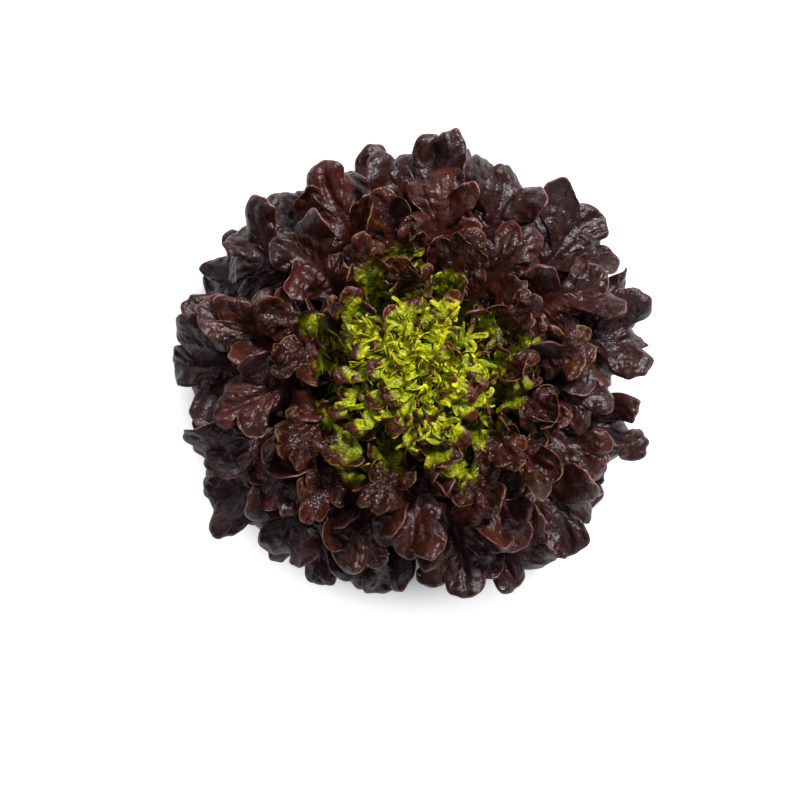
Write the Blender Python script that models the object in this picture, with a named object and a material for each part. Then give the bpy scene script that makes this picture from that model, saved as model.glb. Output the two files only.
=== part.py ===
"""A head of red oakleaf lettuce: a cut stem carrying whorl on whorl of lobed leaves round a small-leaved heart.

Run with: blender --background --python part.py. Metres, +Z up. The origin is the centre of the stem's cut face,
which is on the surface that the head stands on. The leaves follow the golden angle, from the lowest, oldest
and widest leaf to the youngest beside the heart, and every leaf lies on a level of its own: the levels are
nested like the jets of a fountain, so leaves pass over one another without touching.
"""

import math
import random

import bmesh
import bpy

# The head's outer dome, which the leaf tips reach.
HEAD_RADIUS = 0.143
DOME_TOP = 0.130
WIDEST_HEIGHT = 0.038
DROOP_DEPTH = 0.080
LOWEST_TIP_ANGLE = math.radians(112)
HIGHEST_TIP_ANGLE = math.radians(25)

# The stem: an egg shape with its lower end cut flat.
STEM_RADIUS = 0.018
STEM_HEIGHT = 0.050
STEM_WIDEST_HEIGHT = 0.022
CUT_RADIUS = 0.013
LOWEST_BASE_ANGLE = math.radians(104)
HIGHEST_BASE_ANGLE = math.radians(36)
SEAT_ANGLE = math.radians(24)
SIDES = 36

# The leaves, counted by whorl from the outside in.
WHORLS = {"outer_leaf": 13, "middle_leaf": 13, "inner_leaf": 13, "heart_leaf": 19}
LEAF_COUNT = sum(WHORLS.values())
GOLDEN_ANGLE = math.radians(137.508)
BLADE_WIDTH = 0.070
YOUNG_BLADE_WIDTH = 0.042
PETIOLE_HALF_ANGLE = math.radians(17)
BLADE_THICKNESS = 0.0010
RIB_DEPTH = 0.0022

# How far a blade's edge waves, droops and rolls. It is told in steps, the rise from one leaf's level to the
# next, so that a flatter head has flatter leaves.
LEVEL_STEP = (DOME_TOP - WIDEST_HEIGHT) / LEAF_COUNT
EDGE_WAVE = 0.95 * LEVEL_STEP
EDGE_DROOP = 1.60 * LEVEL_STEP
EDGE_ROLL = 0.70 * LEVEL_STEP

# The angle above the surface at which a leaf leaves the stem, and at which its tip points.
OLD_RISE, YOUNG_RISE = math.radians(18), math.radians(64)
OLD_TIP_PITCH, YOUNG_TIP_PITCH = math.radians(-60), math.radians(45)

# How much one leaf may differ from the rule in its heading and its reach.
HEADING_SPREAD = math.radians(4)
REACH_SPREAD = 0.0035
SEED = 4100

# A leaf's outline, as (share of its length, half width as a share of the blade's, edge wave), petiole to tip.
# The petiole's own half width comes from the stem, so it is given as None.
OUTLINE = (
    (0.00, None, 0.0),
    (0.17, None, 0.0),
    (0.34, 0.34, 0.2),
    (0.47, 0.86, 1.0),
    (0.57, 0.56, -1.0),
    (0.69, 1.00, 1.0),
    (0.80, 0.64, -1.0),
    (0.91, 0.72, 0.8),
    (1.00, 0.28, -0.2),
)
# Places across a leaf, as shares of its half width, and how much of the rib is under each.
ACROSS = ((-1.0, 0.0), (-0.5, 0.3), (0.0, 1.0), (0.5, 0.3), (1.0, 0.0))

# The bud: the packed smallest leaves at the growing tip, as one body inside the youngest leaf's level. Its top
# and its rim are told by how far they lie below the top of the head's dome.
BUD_TOP_DEPTH = 0.015
BUD_RIM_DEPTH = 0.027
BUD_INSET = 0.0032
BUD_FOLDS = 9
BUD_FOLD_DEPTH = 0.0022

GAP = 0.0003
LEAF_GREEN = (0.28, 0.42, 0.03, 1.0)
STEM_WHITE = (0.62, 0.62, 0.42, 1.0)
OLD_RED = (0.045, 0.014, 0.014, 1.0)
YOUNG_RED = (0.16, 0.09, 0.015, 1.0)


def between(low, high, share):
    return low + (high - low) * share


def stem_point(angle, out=0.0):
    """(radius, height) on the stem at this angle from the top of its axis, moved out by a clearance."""
    upper = STEM_HEIGHT - STEM_WIDEST_HEIGHT
    lower = STEM_WIDEST_HEIGHT / math.sqrt(1 - (CUT_RADIUS / STEM_RADIUS) ** 2)
    tall = upper if math.cos(angle) > 0 else lower
    return (
        (STEM_RADIUS + out) * math.sin(angle),
        STEM_WIDEST_HEIGHT + (tall + out) * math.cos(angle),
    )


def onto_stem(radius, height, out):
    """The point moved along its own direction from the stem's middle to the stem's surface."""
    upper = STEM_HEIGHT - STEM_WIDEST_HEIGHT
    lower = STEM_WIDEST_HEIGHT / math.sqrt(1 - (CUT_RADIUS / STEM_RADIUS) ** 2)
    rise = height - STEM_WIDEST_HEIGHT
    tall = upper if rise > 0 else lower
    return stem_point(math.atan2(radius / STEM_RADIUS, rise / tall), out)


def dome_point(angle):
    """(radius, height) on the head's dome at this angle from the top of its axis."""
    tall = DOME_TOP - WIDEST_HEIGHT if math.cos(angle) > 0 else DROOP_DEPTH
    return HEAD_RADIUS * math.sin(angle), WIDEST_HEIGHT + tall * math.cos(angle)


def level(youth):
    """The four control points of a level's curve, as (radius, height). youth runs from 0, oldest, to 1."""
    base_rise = between(math.cos(LOWEST_BASE_ANGLE), math.cos(HIGHEST_BASE_ANGLE), youth)
    base = stem_point(math.acos(base_rise), GAP)
    tip = dome_point(between(LOWEST_TIP_ANGLE, HIGHEST_TIP_ANGLE, youth**0.95))
    rise = between(OLD_RISE, YOUNG_RISE, youth**0.8)
    pitch = between(OLD_TIP_PITCH, YOUNG_TIP_PITCH, youth**1.75)
    span = math.dist(base, tip)
    first = (base[0] + 0.42 * span * math.cos(rise), base[1] + 0.42 * span * math.sin(rise))
    last = (tip[0] - 0.38 * span * math.cos(pitch), tip[1] - 0.38 * span * math.sin(pitch))
    return base, first, last, tip


def along(points, share):
    """(radius, height, pitch) at a share of a cubic Bezier curve."""
    rest = 1 - share
    weights = (rest**3, 3 * rest**2 * share, 3 * rest * share**2, share**3)
    slopes = (rest**2, 2 * rest * share, share**2)
    radius, height = (sum(w * p[i] for w, p in zip(weights, points)) for i in (0, 1))
    across, up = (
        sum(w * (points[n + 1][i] - points[n][i]) for n, w in enumerate(slopes)) for i in (0, 1)
    )
    return radius, height, math.atan2(up, across)


def material(name, colour, roughness):
    made = bpy.data.materials.new(name)
    made.use_nodes = True
    shader = made.node_tree.nodes["Principled BSDF"]
    shader.inputs["Base Color"].default_value = colour
    shader.inputs["Roughness"].default_value = roughness
    return made


def add_object(name, mesh, finish):
    mesh.materials.append(finish)
    made = bpy.data.objects.new(name, mesh)
    bpy.context.scene.collection.objects.link(made)
    return made


def rings_mesh(name, profile, foot, top, fold_depths):
    """A closed mesh of rings from (radius, height) pairs, folded inwards by each depth, between two end points."""
    shape = bmesh.new()
    loops = []
    for (radius, height), depth in zip(profile, fold_depths):
        loop = []
        for side in range(SIDES):
            turn = 2 * math.pi * side / SIDES
            folded = radius - depth * (0.5 + 0.5 * math.cos(BUD_FOLDS * turn))
            loop.append(shape.verts.new((folded * math.cos(turn), folded * math.sin(turn), height)))
        loops.append(loop)
    ends = shape.verts.new((0, 0, foot)), shape.verts.new((0, 0, top))
    for lower, upper in zip(loops, loops[1:]):
        for side in range(SIDES):
            after = (side + 1) % SIDES
            shape.faces.new((lower[side], lower[after], upper[after], upper[side]))
    for side in range(SIDES):
        after = (side + 1) % SIDES
        shape.faces.new((ends[0], loops[0][after], loops[0][side]))
        shape.faces.new((ends[1], loops[-1][side], loops[-1][after]))
    mesh = bpy.data.meshes.new(name)
    shape.to_mesh(mesh)
    shape.free()
    mesh.shade_smooth()
    mesh.set_sharp_from_angle(angle=math.radians(50))
    return mesh


def make_stem(finish):
    """The stem, from its flat cut face to its rounded top."""
    foot_angle = math.pi - math.asin(CUT_RADIUS / STEM_RADIUS)
    steps = 7
    angles = [between(foot_angle, SEAT_ANGLE, step / steps) for step in range(steps + 1)]
    profile = [(CUT_RADIUS, 0.0)] + [stem_point(angle) for angle in angles[1:] + [SEAT_ANGLE / 2]]
    mesh = rings_mesh("stem", profile, 0.0, STEM_HEIGHT, [0.0] * len(profile))
    return add_object("stem", mesh, finish)


def radius_at(curve, height):
    """The horizontal distance from the axis to the bud's outside at this height, inside a level's curve."""
    low, high = 0.0, 1.0
    for _ in range(40):
        middle = (low + high) / 2
        low, high = (middle, high) if along(curve, middle)[1] < height else (low, middle)
    radius, _, pitch = along(curve, low)
    return radius - BUD_INSET / math.sin(pitch)


def make_bud(finish):
    """The bud: a folded, flaring body with a domed top, seated on the stem inside the youngest leaves."""
    curve = level(1.0)
    seat = stem_point(SEAT_ANGLE, GAP)
    first = curve[0][1] + 2 * BUD_INSET
    top, rim_height = DOME_TOP - BUD_TOP_DEPTH, DOME_TOP - BUD_RIM_DEPTH
    heights = [between(first, rim_height, step / 5) for step in range(6)]
    sides = [(radius_at(curve, height), height) for height in heights]
    rim = sides[-1][0]
    crown = [(rim * math.cos(turn), between(rim_height, top, math.sin(turn))) for turn in (0.5, 1.0)]
    profile = [stem_point(SEAT_ANGLE / 2, GAP), seat] + sides + crown
    depths = [0.0, 0.0] + [BUD_FOLD_DEPTH * radius / rim for radius, height in sides + crown]
    mesh = rings_mesh("heart_bud", profile, STEM_HEIGHT + GAP, top, depths)
    return add_object("heart_bud", mesh, finish)


def leaf_point(curve, heading, share, sideways, lift):
    """A point of a leaf: along its level's curve, then round the axis by sideways, and lift off the curve."""
    radius, height, pitch = along(curve, share)
    turn = heading + sideways / radius
    radius -= lift * math.sin(pitch)
    height += lift * math.cos(pitch)
    return radius, turn, height


def make_leaf(name, number, finish):
    """One leaf, as a closed sheet that is thicker over its midrib and ends on the stem."""
    chance = random.Random(SEED + number)
    youth = number / LEAF_COUNT
    heading = number * GOLDEN_ANGLE + chance.uniform(-1, 1) * HEADING_SPREAD
    roll = chance.uniform(-1, 1) * EDGE_ROLL / (BLADE_WIDTH / 2)
    reach = chance.uniform(-1, 1) * REACH_SPREAD
    base, first, last, tip = level(youth)
    pitch = math.atan2(tip[1] - last[1], tip[0] - last[0])
    tip = (tip[0] + reach * math.cos(pitch), tip[1] + reach * math.sin(pitch))
    curve = (base, first, last, tip)
    blade = 0.5 * between(BLADE_WIDTH, YOUNG_BLADE_WIDTH, youth**1.4)
    petiole = PETIOLE_HALF_ANGLE * base[0]
    rib = RIB_DEPTH * petiole / (PETIOLE_HALF_ANGLE * STEM_RADIUS)

    faces_up, faces_down = [], []
    for share, width, wave in OUTLINE:
        half_width = petiole if width is None else max(petiole, width * blade)
        for place, rib_share in ACROSS:
            sideways = place * half_width
            lift = roll * sideways + (EDGE_WAVE * wave - EDGE_DROOP * share) * place**2
            depth = BLADE_THICKNESS + rib * rib_share * (1 - 0.85 * share)
            for side, offset in ((faces_up, lift), (faces_down, lift - depth)):
                radius, turn, height = leaf_point(curve, heading, share, sideways, offset)
                if share == 0:
                    radius, height = onto_stem(radius, height, GAP)
                side.append((radius * math.cos(turn), radius * math.sin(turn), height))

    shape = bmesh.new()
    over = [shape.verts.new(point) for point in faces_up]
    under = [shape.verts.new(point) for point in faces_down]
    columns, rows = len(ACROSS), len(OUTLINE)
    for row in range(rows - 1):
        for column in range(columns - 1):
            a = row * columns + column
            b, c, d = a + 1, a + columns + 1, a + columns
            shape.faces.new((over[a], over[d], over[c], over[b]))
            shape.faces.new((under[a], under[b], under[c], under[d]))
    first_row = [column for column in range(columns)]
    right = [row * columns + columns - 1 for row in range(1, rows)]
    last_row = [(rows - 1) * columns + column for column in range(columns - 2, -1, -1)]
    left = [row * columns for row in range(rows - 2, 0, -1)]
    edge = first_row + right + last_row + left
    for a, b in zip(edge, edge[1:] + edge[:1]):
        shape.faces.new((over[a], over[b], under[b], under[a]))
    mesh = bpy.data.meshes.new(name)
    shape.to_mesh(mesh)
    shape.free()
    mesh.shade_smooth()
    mesh.set_sharp_from_angle(angle=math.radians(50))
    return add_object(name, mesh, finish)


def main():
    for old in list(bpy.data.objects):
        bpy.data.objects.remove(old)
    make_stem(material("stem_flesh", STEM_WHITE, 0.45))
    make_bud(material("heart_green", LEAF_GREEN, 0.40))
    number = 0
    for whorl, (name, count) in enumerate(WHORLS.items()):
        youth = whorl / (len(WHORLS) - 1)
        colour = [between(old, young, youth**2) for old, young in zip(OLD_RED, YOUNG_RED)]
        finish = material(name, colour, 0.42)
        for place in range(count):
            make_leaf(f"{name}_{place + 1:02d}", number, finish)
            number += 1


main()
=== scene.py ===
"""The looks of a head of red oakleaf lettuce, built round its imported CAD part."""

import math
import random

import bpy
import mathutils
import numpy as np
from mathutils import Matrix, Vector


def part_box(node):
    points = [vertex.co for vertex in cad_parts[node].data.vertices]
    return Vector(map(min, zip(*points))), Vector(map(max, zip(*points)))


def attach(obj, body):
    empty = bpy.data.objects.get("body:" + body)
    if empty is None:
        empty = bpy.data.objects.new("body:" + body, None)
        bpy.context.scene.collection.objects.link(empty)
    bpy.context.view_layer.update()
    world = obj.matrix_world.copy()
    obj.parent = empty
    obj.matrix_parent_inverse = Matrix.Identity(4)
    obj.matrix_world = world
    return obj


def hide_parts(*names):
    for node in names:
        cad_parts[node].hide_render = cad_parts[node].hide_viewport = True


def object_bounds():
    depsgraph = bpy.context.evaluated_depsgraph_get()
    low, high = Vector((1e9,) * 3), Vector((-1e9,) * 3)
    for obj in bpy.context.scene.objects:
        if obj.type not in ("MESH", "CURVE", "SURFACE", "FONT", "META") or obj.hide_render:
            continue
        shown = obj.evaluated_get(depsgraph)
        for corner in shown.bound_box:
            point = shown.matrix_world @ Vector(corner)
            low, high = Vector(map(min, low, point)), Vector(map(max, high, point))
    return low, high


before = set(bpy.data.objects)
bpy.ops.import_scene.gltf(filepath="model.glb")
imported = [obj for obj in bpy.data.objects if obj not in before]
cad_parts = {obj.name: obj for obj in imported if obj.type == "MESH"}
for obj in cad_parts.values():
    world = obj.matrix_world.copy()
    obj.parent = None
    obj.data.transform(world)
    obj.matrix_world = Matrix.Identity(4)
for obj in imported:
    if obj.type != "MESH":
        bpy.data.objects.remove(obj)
cad_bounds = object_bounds()

# ---------------------------------------------------------------- the levels of the CAD leaves, in metres
HEAD_RADIUS = 0.143
DOME_TOP = 0.130
WIDEST_HEIGHT = 0.038
DROOP_DEPTH = 0.080
LOWEST_TIP_ANGLE = math.radians(112)
HIGHEST_TIP_ANGLE = math.radians(25)
STEM_RADIUS = 0.018
STEM_HEIGHT = 0.050
STEM_WIDEST_HEIGHT = 0.022
CUT_RADIUS = 0.013
LOWEST_BASE_ANGLE = math.radians(104)
HIGHEST_BASE_ANGLE = math.radians(36)
WHORLS = {"outer_leaf": 13, "middle_leaf": 13, "inner_leaf": 13, "heart_leaf": 19}
LEAF_COUNT = sum(WHORLS.values())
GOLDEN_ANGLE = math.radians(137.508)
OLD_RISE, YOUNG_RISE = math.radians(18), math.radians(64)
OLD_TIP_PITCH, YOUNG_TIP_PITCH = math.radians(-60), math.radians(45)
HEADING_SPREAD = math.radians(4)
REACH_SPREAD = 0.0035
ROLL_SPREAD = 0.03
SEED = 4100
GAP = 0.0003


def between(low, high, share):
    return low + (high - low) * share


def smooth(value, low, high):
    """0 below low, 1 above high, and an even step between them."""
    share = np.clip((value - low) / (high - low), 0, 1)
    return share * share * (3 - 2 * share)


def stem_point(angle, out=0.0):
    """The radius and height of a place on the stem, from its angle off the top."""
    upper = STEM_HEIGHT - STEM_WIDEST_HEIGHT
    lower = STEM_WIDEST_HEIGHT / math.sqrt(1 - (CUT_RADIUS / STEM_RADIUS) ** 2)
    tall = upper if math.cos(angle) > 0 else lower
    return (STEM_RADIUS + out) * math.sin(angle), STEM_WIDEST_HEIGHT + (tall + out) * math.cos(angle)


def dome_point(angle):
    """The radius and height of a place on the head's outline, from its angle off the top."""
    tall = DOME_TOP - WIDEST_HEIGHT if math.cos(angle) > 0 else DROOP_DEPTH
    return HEAD_RADIUS * math.sin(angle), WIDEST_HEIGHT + tall * math.cos(angle)


def level(youth, reach):
    """The Bezier curve that a leaf follows from stem to dome: 0 is the oldest leaf and 1 the youngest."""
    base_rise = between(math.cos(LOWEST_BASE_ANGLE), math.cos(HIGHEST_BASE_ANGLE), youth)
    base = stem_point(math.acos(base_rise), GAP)
    tip = dome_point(between(LOWEST_TIP_ANGLE, HIGHEST_TIP_ANGLE, youth**0.95))
    rise = between(OLD_RISE, YOUNG_RISE, youth**0.8)
    pitch = between(OLD_TIP_PITCH, YOUNG_TIP_PITCH, youth**1.75)
    span = math.dist(base, tip)
    first = (base[0] + 0.42 * span * math.cos(rise), base[1] + 0.42 * span * math.sin(rise))
    last = (tip[0] - 0.38 * span * math.cos(pitch), tip[1] - 0.38 * span * math.sin(pitch))
    tip = (tip[0] + reach * math.cos(pitch), tip[1] + reach * math.sin(pitch))
    return base, first, last, tip


def curve_table(points, beyond=0.03):
    """Arc length, radius and height along a Bezier curve, with a straight run beyond its end."""
    share = np.linspace(0, 1, 60)[:, None]
    base, first, last, end = np.array(points)
    rest = 1 - share
    line = rest**3 * base + 3 * rest**2 * share * first + 3 * rest * share**2 * last + share**3 * end
    onward = (line[-1] - line[-2]) / np.linalg.norm(line[-1] - line[-2])
    line = np.vstack([line, line[-1] + beyond * onward])
    steps = np.linalg.norm(np.diff(line, axis=0), axis=1)
    arc = np.concatenate([[0], np.cumsum(steps)])
    return arc, line[:, 0], line[:, 1]


# ---------------------------------------------------------------- smooth noise
LATTICE = 64


def noise(x, y, seed):
    """Value noise on a lattice with unit spacing, from -1 to 1."""
    table = np.random.RandomState(seed).uniform(-1, 1, (LATTICE, LATTICE))
    column, row = np.floor(x).astype(int), np.floor(y).astype(int)
    right, up = x - column, y - row
    right, up = right * right * (3 - 2 * right), up * up * (3 - 2 * up)
    near, far = column % LATTICE, (column + 1) % LATTICE
    low, high = row % LATTICE, (row + 1) % LATTICE
    lower = table[near, low] * (1 - right) + table[far, low] * right
    upper = table[near, high] * (1 - right) + table[far, high] * right
    return lower * (1 - up) + upper * up


def blur(rows, sigma):
    """Gaussian blur along the first axis, with the ends held."""
    half = int(math.ceil(3 * sigma))
    kernel = np.exp(-0.5 * (np.arange(-half, half + 1) / sigma) ** 2)
    kernel /= kernel.sum()
    padded = np.concatenate([np.repeat(rows[:1], half, 0), rows, np.repeat(rows[-1:], half, 0)])
    flat = padded.reshape(len(padded), -1)
    blurred = np.stack([np.convolve(flat[:, n], kernel, "valid") for n in range(flat.shape[1])], 1)
    return blurred.reshape(rows.shape)


# ---------------------------------------------------------------- a leaf's flat outline
# A lobe is (node, angle, reach, half width). The node is the place on the midrib that its vein leaves, and
# the angle is counted from the midrib's own direction. The outline turns from -ARC to ARC round the middle of
# the lobe's bulb.
ARC = math.radians(140)
NECK = -math.cos(ARC)
NARROW = 0.0036
ROW_STEP = 0.0013
NOTCH_DEPTH = 0.84


def lobe_frame(lobe):
    """A lobe's root, axis and crosswise direction, its bulb's head, back and middle, and its neck's place."""
    node, angle, reach, half = lobe
    ahead = np.array((math.sin(angle), math.cos(angle)))
    aside = np.array((-math.cos(angle), math.sin(angle)))
    head = min(0.95 * half, 0.5 * reach)
    middle = reach - head
    deepest = 0.88 * middle / NECK
    back = deepest if half < NARROW else min(max(1.15 * half, 0.52 * reach - 0.005), deepest)
    return np.array((0.0, node)), ahead, aside, head, back, middle, middle - NECK * back


def stalk_rays(end, stalk, density):
    """Rays straight across the leaf's stalk, from its base to where the first lobe starts."""
    rays = []
    for share in np.linspace(0, 1, max(4, int(8 * density))):
        y = share * end
        width = stalk * (1 - 0.2 * math.sin(math.pi * share))
        rays.append(((0, y), (0.5 * width, y), (width, y), -1.0, 0))
    return rays


def lobe_rays(lobes, number, start, waves, density, frill):
    """Rays from the midrib to one lobe's outline. The last lobe is the tip's, and a side has half of it."""
    node, _, reach, half = lobes[number]
    root, ahead, aside, head, back, middle, neck = lobe_frame(lobes[number])
    last = number + 1 == len(lobes)
    before = lobes[number - 1][0] if number else start
    after = node if last else lobes[number + 1][0]
    stop = 0.0 if last else 1.0
    count = max(7, int((stop + 1) * 0.5 * density * (3.2 * half + reach) / ROW_STEP))
    rays = []
    for share in np.linspace(-1, stop, count):
        turn = share * ARC
        if last:
            ripple = 0.03 * math.cos(6 * turn) - 0.06 * math.cos(2 * turn)
        else:
            ripple = 0.06 * math.sin(3.1 * turn + waves[0]) + 0.04 * math.sin(7.3 * turn + waves[1])
        swell = 1 + frill * ripple * (1 - share**4)
        long = swell * (head if math.cos(turn) > 0 else back)
        point = root + (middle + long * math.cos(turn)) * ahead + swell * half * math.sin(turn) * aside
        if share < 0:
            y = between((before + node) / 2, node, share + 1)
        else:
            y = between(node, (node + after) / 2, share)
        knee = root + ahead * neck * (0.95 - 0.4 * share * share) + aside * 0.52 * half * share
        rays.append(((0, y), knee, point, share, number))
    return rays


def notch_ray(lobe, following, edge):
    """The ray to the notch between two lobes, from the edge point that the first one ends at."""
    root, ahead, aside, *_, neck = lobe_frame(following)
    start = root + ahead * neck - aside * following[3] * math.sin(ARC)
    foot = np.array((0.0, (lobe[0] + following[0]) / 2))
    notch = foot + ((edge + start) / 2 - foot) * NOTCH_DEPTH
    return foot, (foot + notch) / 2, notch


def side_rays(lobes, shape, density, chance):
    """Rays from the midrib to one side's margin: their origins, bends and edges, and where on which lobe."""
    start = max(lobes[0][0] - 1.6 * lobes[0][3], 0.15 * lobes[0][0])
    rays = stalk_rays(start, shape["petiole"], density)
    for number, lobe in enumerate(lobes):
        waves = chance.uniform(0, 6.28), chance.uniform(0, 6.28)
        rays += lobe_rays(lobes, number, start, waves, density, shape["frill"])
        if number + 1 < len(lobes):
            rays.append(notch_ray(lobe, lobes[number + 1], rays[-1][2]) + (1.0, number))
    columns = [np.array([np.asarray(ray[n], float) for ray in rays]) for n in range(5)]
    origin, bend, edge, place, which = columns
    ends = edge[0].copy(), origin[-1].copy(), edge[-1].copy()
    origin, bend, edge = blur(origin, 2.5), blur(bend, 1.8), blur(edge, 0.8)
    edge[0], origin[0], origin[:, 0] = ends[0], (0, 0), 0
    origin[-1], edge[-1] = ends[1], ends[2]
    bend[-1, 0] = edge[-1, 0] = 0
    return origin, bend, edge, place, which.astype(int)


def resampled(side, rows):
    """One side's rays, spread over as many rows as the other side has."""
    origin, bend, edge, place, which = side
    pick = np.linspace(0, len(origin) - 1, rows)
    index = np.arange(len(origin))
    spread = lambda values: np.stack([np.interp(pick, index, values[:, n]) for n in range(2)], 1)
    nearest = np.round(pick).astype(int)
    return spread(origin), spread(bend), spread(edge), np.interp(pick, index, place), which[nearest]


# ---------------------------------------------------------------- a leaf's relief
LOBE_END = 1.3


def bend_lobes(flat, rise, which, lobes, moods, mirror):
    """Each lobe is bent, twisted and cupped about its neck. Returns the points, their redness and tone."""
    solid = np.concatenate([flat, rise[..., None]], 2)
    red = np.zeros(flat.shape[:2])
    shade = np.full(flat.shape[:2], 0.5)
    for number, (lobe, mood) in enumerate(zip(lobes, moods)):
        mine = which == number
        root, ahead, aside, *_, neck = lobe_frame(lobe)
        pitch, curl, twist, cup, hook, tint, tone = mood
        if number + 1 == len(lobes):
            twist, hook = twist * mirror, hook * mirror
        local = flat[mine] - root
        past, beside = local @ ahead - neck, local @ aside
        long = lobe[2] - neck
        share = np.clip(past / long, 0, LOBE_END)
        line = np.linspace(0, LOBE_END, 40)
        lean = pitch * smooth(line, 0, 0.55) + curl * line**1.6
        middles = lean[:-1] + np.diff(lean) / 2
        step = line[1] * long
        run = np.concatenate([[0], np.cumsum(np.cos(middles)) * step])
        climb = np.concatenate([[0], np.cumsum(np.sin(middles)) * step])
        tilt = np.interp(share, line, lean)
        turn = twist * smooth(share, 0, 0.9)
        bow = cup * smooth(share, 0, 0.55) / lobe[3]
        bow = np.where(np.abs(bow) < 1e-3, 1e-3, bow)
        across = np.sin(bow * beside) / bow
        hollow = (1 - np.cos(bow * beside)) / bow
        # The lobe's cross-section turns about its axis, and leans back with the lobe's own slope.
        sideways = across * np.cos(turn) - hollow * np.sin(turn)
        upward = across * np.sin(turn) + hollow * np.cos(turn)
        forward = np.interp(share, line, run) - upward * np.sin(tilt)
        height = np.interp(share, line, climb) + upward * np.cos(tilt)
        veer = hook * smooth(share, 0, 1.2)
        forward, sideways = (
            forward * np.cos(veer) - sideways * np.sin(veer),
            forward * np.sin(veer) + sideways * np.cos(veer),
        )
        beyond = past > 0
        red[mine] = tint * smooth(share, 0, 0.7)
        shade[mine] += (tone - 0.5) * smooth(share, 0, 0.5)
        plane = root + (neck + forward)[..., None] * ahead + sideways[..., None] * aside
        solid[mine, :, :2] = np.where(beyond[..., None], plane, flat[mine])
        solid[mine, :, 2] += np.where(beyond, height, 0)
    return solid, blur(red, 1.0), blur(shade, 1.0)


def relief(shape, x, y, left, place, slope, seed):
    """How high one side's folds and puckers stand, and how far up a fold and how near a vein they are."""
    out = np.abs(x)
    scale, blister = shape["scale"], shape["blister"]
    calm = smooth(out, 0.0005, 0.004)
    rise = out * np.tan(slope)[:, None] * smooth(out, 0, 0.012)
    rise += shape["trough"] * (out - 0.5 * out * smooth(out, 0.004, 0.02))
    rise += shape["swell"] * calm * noise(x / (2.4 * scale), y / (2.4 * scale), seed)
    ruffle = noise(x / scale, y / scale, seed + 1)
    ruffle += 0.4 * noise(x / (0.55 * scale), y / (0.55 * scale), seed + 2)
    rise += shape["ruffle"] * calm * ruffle * between(shape["web"], 1, np.exp(-left / (0.8 * scale)))
    puckers = np.abs(noise(x / blister, y / blister, seed + 3))
    puckers += 0.5 * np.abs(noise(x / (0.55 * blister), y / (0.55 * blister), seed + 4))
    rise += shape["blister_depth"] * calm * puckers * (0.3 + 0.7 * smooth(left, 0, 0.003))
    crease = np.exp(-((place[:, None] / 0.09) ** 2)) * smooth(out, 0.002, 0.006) * smooth(left, 0.0, 0.006)
    rise -= shape["crease"] * crease
    rise -= shape["rim"] * np.exp(-left / 0.0018)
    return rise, np.clip(0.5 + 0.6 * ruffle, 0, 1), crease


def leaf_half(shape, side, sign, shared, rays, columns, seed):
    """One half of a leaf, from the midrib out: points, flat map and facts, each as rows and columns."""
    _, bend, edge, place, which = rays
    out = (1 - (1 - np.linspace(0, 1, columns + 1)) ** 1.25)[None, :, None]
    flat = (1 - out) ** 2 * shared[:, None] + 2 * out * (1 - out) * bend[:, None] + out**2 * edge[:, None]
    length = np.linalg.norm(np.diff(flat, axis=1), axis=2)
    left = length.sum(1)[:, None] - np.concatenate([np.zeros((len(flat), 1)), np.cumsum(length, 1)], 1)
    # The tip's lobe, which is the last, has no slope of its own.
    slope = blur(np.array(shape["slopes"][side] + [0.0])[which], 4.0)
    rise, fold, crease = relief(shape, sign * flat[..., 0], flat[..., 1], left, place, slope, seed)
    lobes = shape["sides"][side] + [shape["tip"]]
    moods = shape["moods"][side] + [shape["tip_mood"]]
    solid, tint, tone = bend_lobes(flat, rise, which, lobes, moods, sign)
    solid[..., 0] *= sign
    return solid, flat * (sign, 1), left, crease, tint, tone, fold


def lobed_leaf(shape, chance, density, columns):
    """A flat leaf, ruffled. Returns points (x aside, y along, z up), flat map, facts and quads."""
    sides = [side_rays(lobes + [shape["tip"]], shape, density, chance) for lobes in shape["sides"]]
    rows = max(len(side[0]) for side in sides)
    sides = [resampled(side, rows) for side in sides]
    shared = (sides[0][0] + sides[1][0]) / 2
    seed = chance.randrange(10**6)
    halves = []
    for side, sign in enumerate((-1, 1)):
        halves.append(leaf_half(shape, side, sign, shared, sides[side], columns, seed))
    halves[0][0][-1] = halves[1][0][-1]
    join = lambda n: np.concatenate([halves[0][n][:, :0:-1], halves[1][n]], 1)
    grid, flat, *facts = (join(n) for n in range(7))
    # The halves meet at the midrib, which is the same line in both, and along the last ray.
    wide = 2 * columns + 1
    ids = np.arange(rows * wide).reshape(rows, wide)
    ids[-1, :columns] = ids[-1, :columns:-1]
    quads = np.stack([ids[:-1, :-1], ids[:-1, 1:], ids[1:, 1:], ids[1:, :-1]], 2).reshape(-1, 4)
    used, quads = np.unique(quads, return_inverse=True)
    facts = [values.reshape(-1)[used] for values in facts]
    return grid.reshape(-1, 3)[used], flat.reshape(-1, 2)[used], facts, quads.reshape(-1, 4)


# ---------------------------------------------------------------- meshes
def normals_of(points, quads):
    """Each point's normal, weighted by the areas of the quads round it."""
    first, second, third, fourth = (points[quads[:, n]] for n in range(4))
    face = np.cross(third - first, fourth - second)
    normals = np.zeros_like(points)
    for corner in range(4):
        for axis in range(3):
            normals[:, axis] += np.bincount(quads[:, corner], face[:, axis], len(points))
    size = np.linalg.norm(normals, axis=1, keepdims=True)
    return normals / np.maximum(size, 1e-12)


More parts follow.
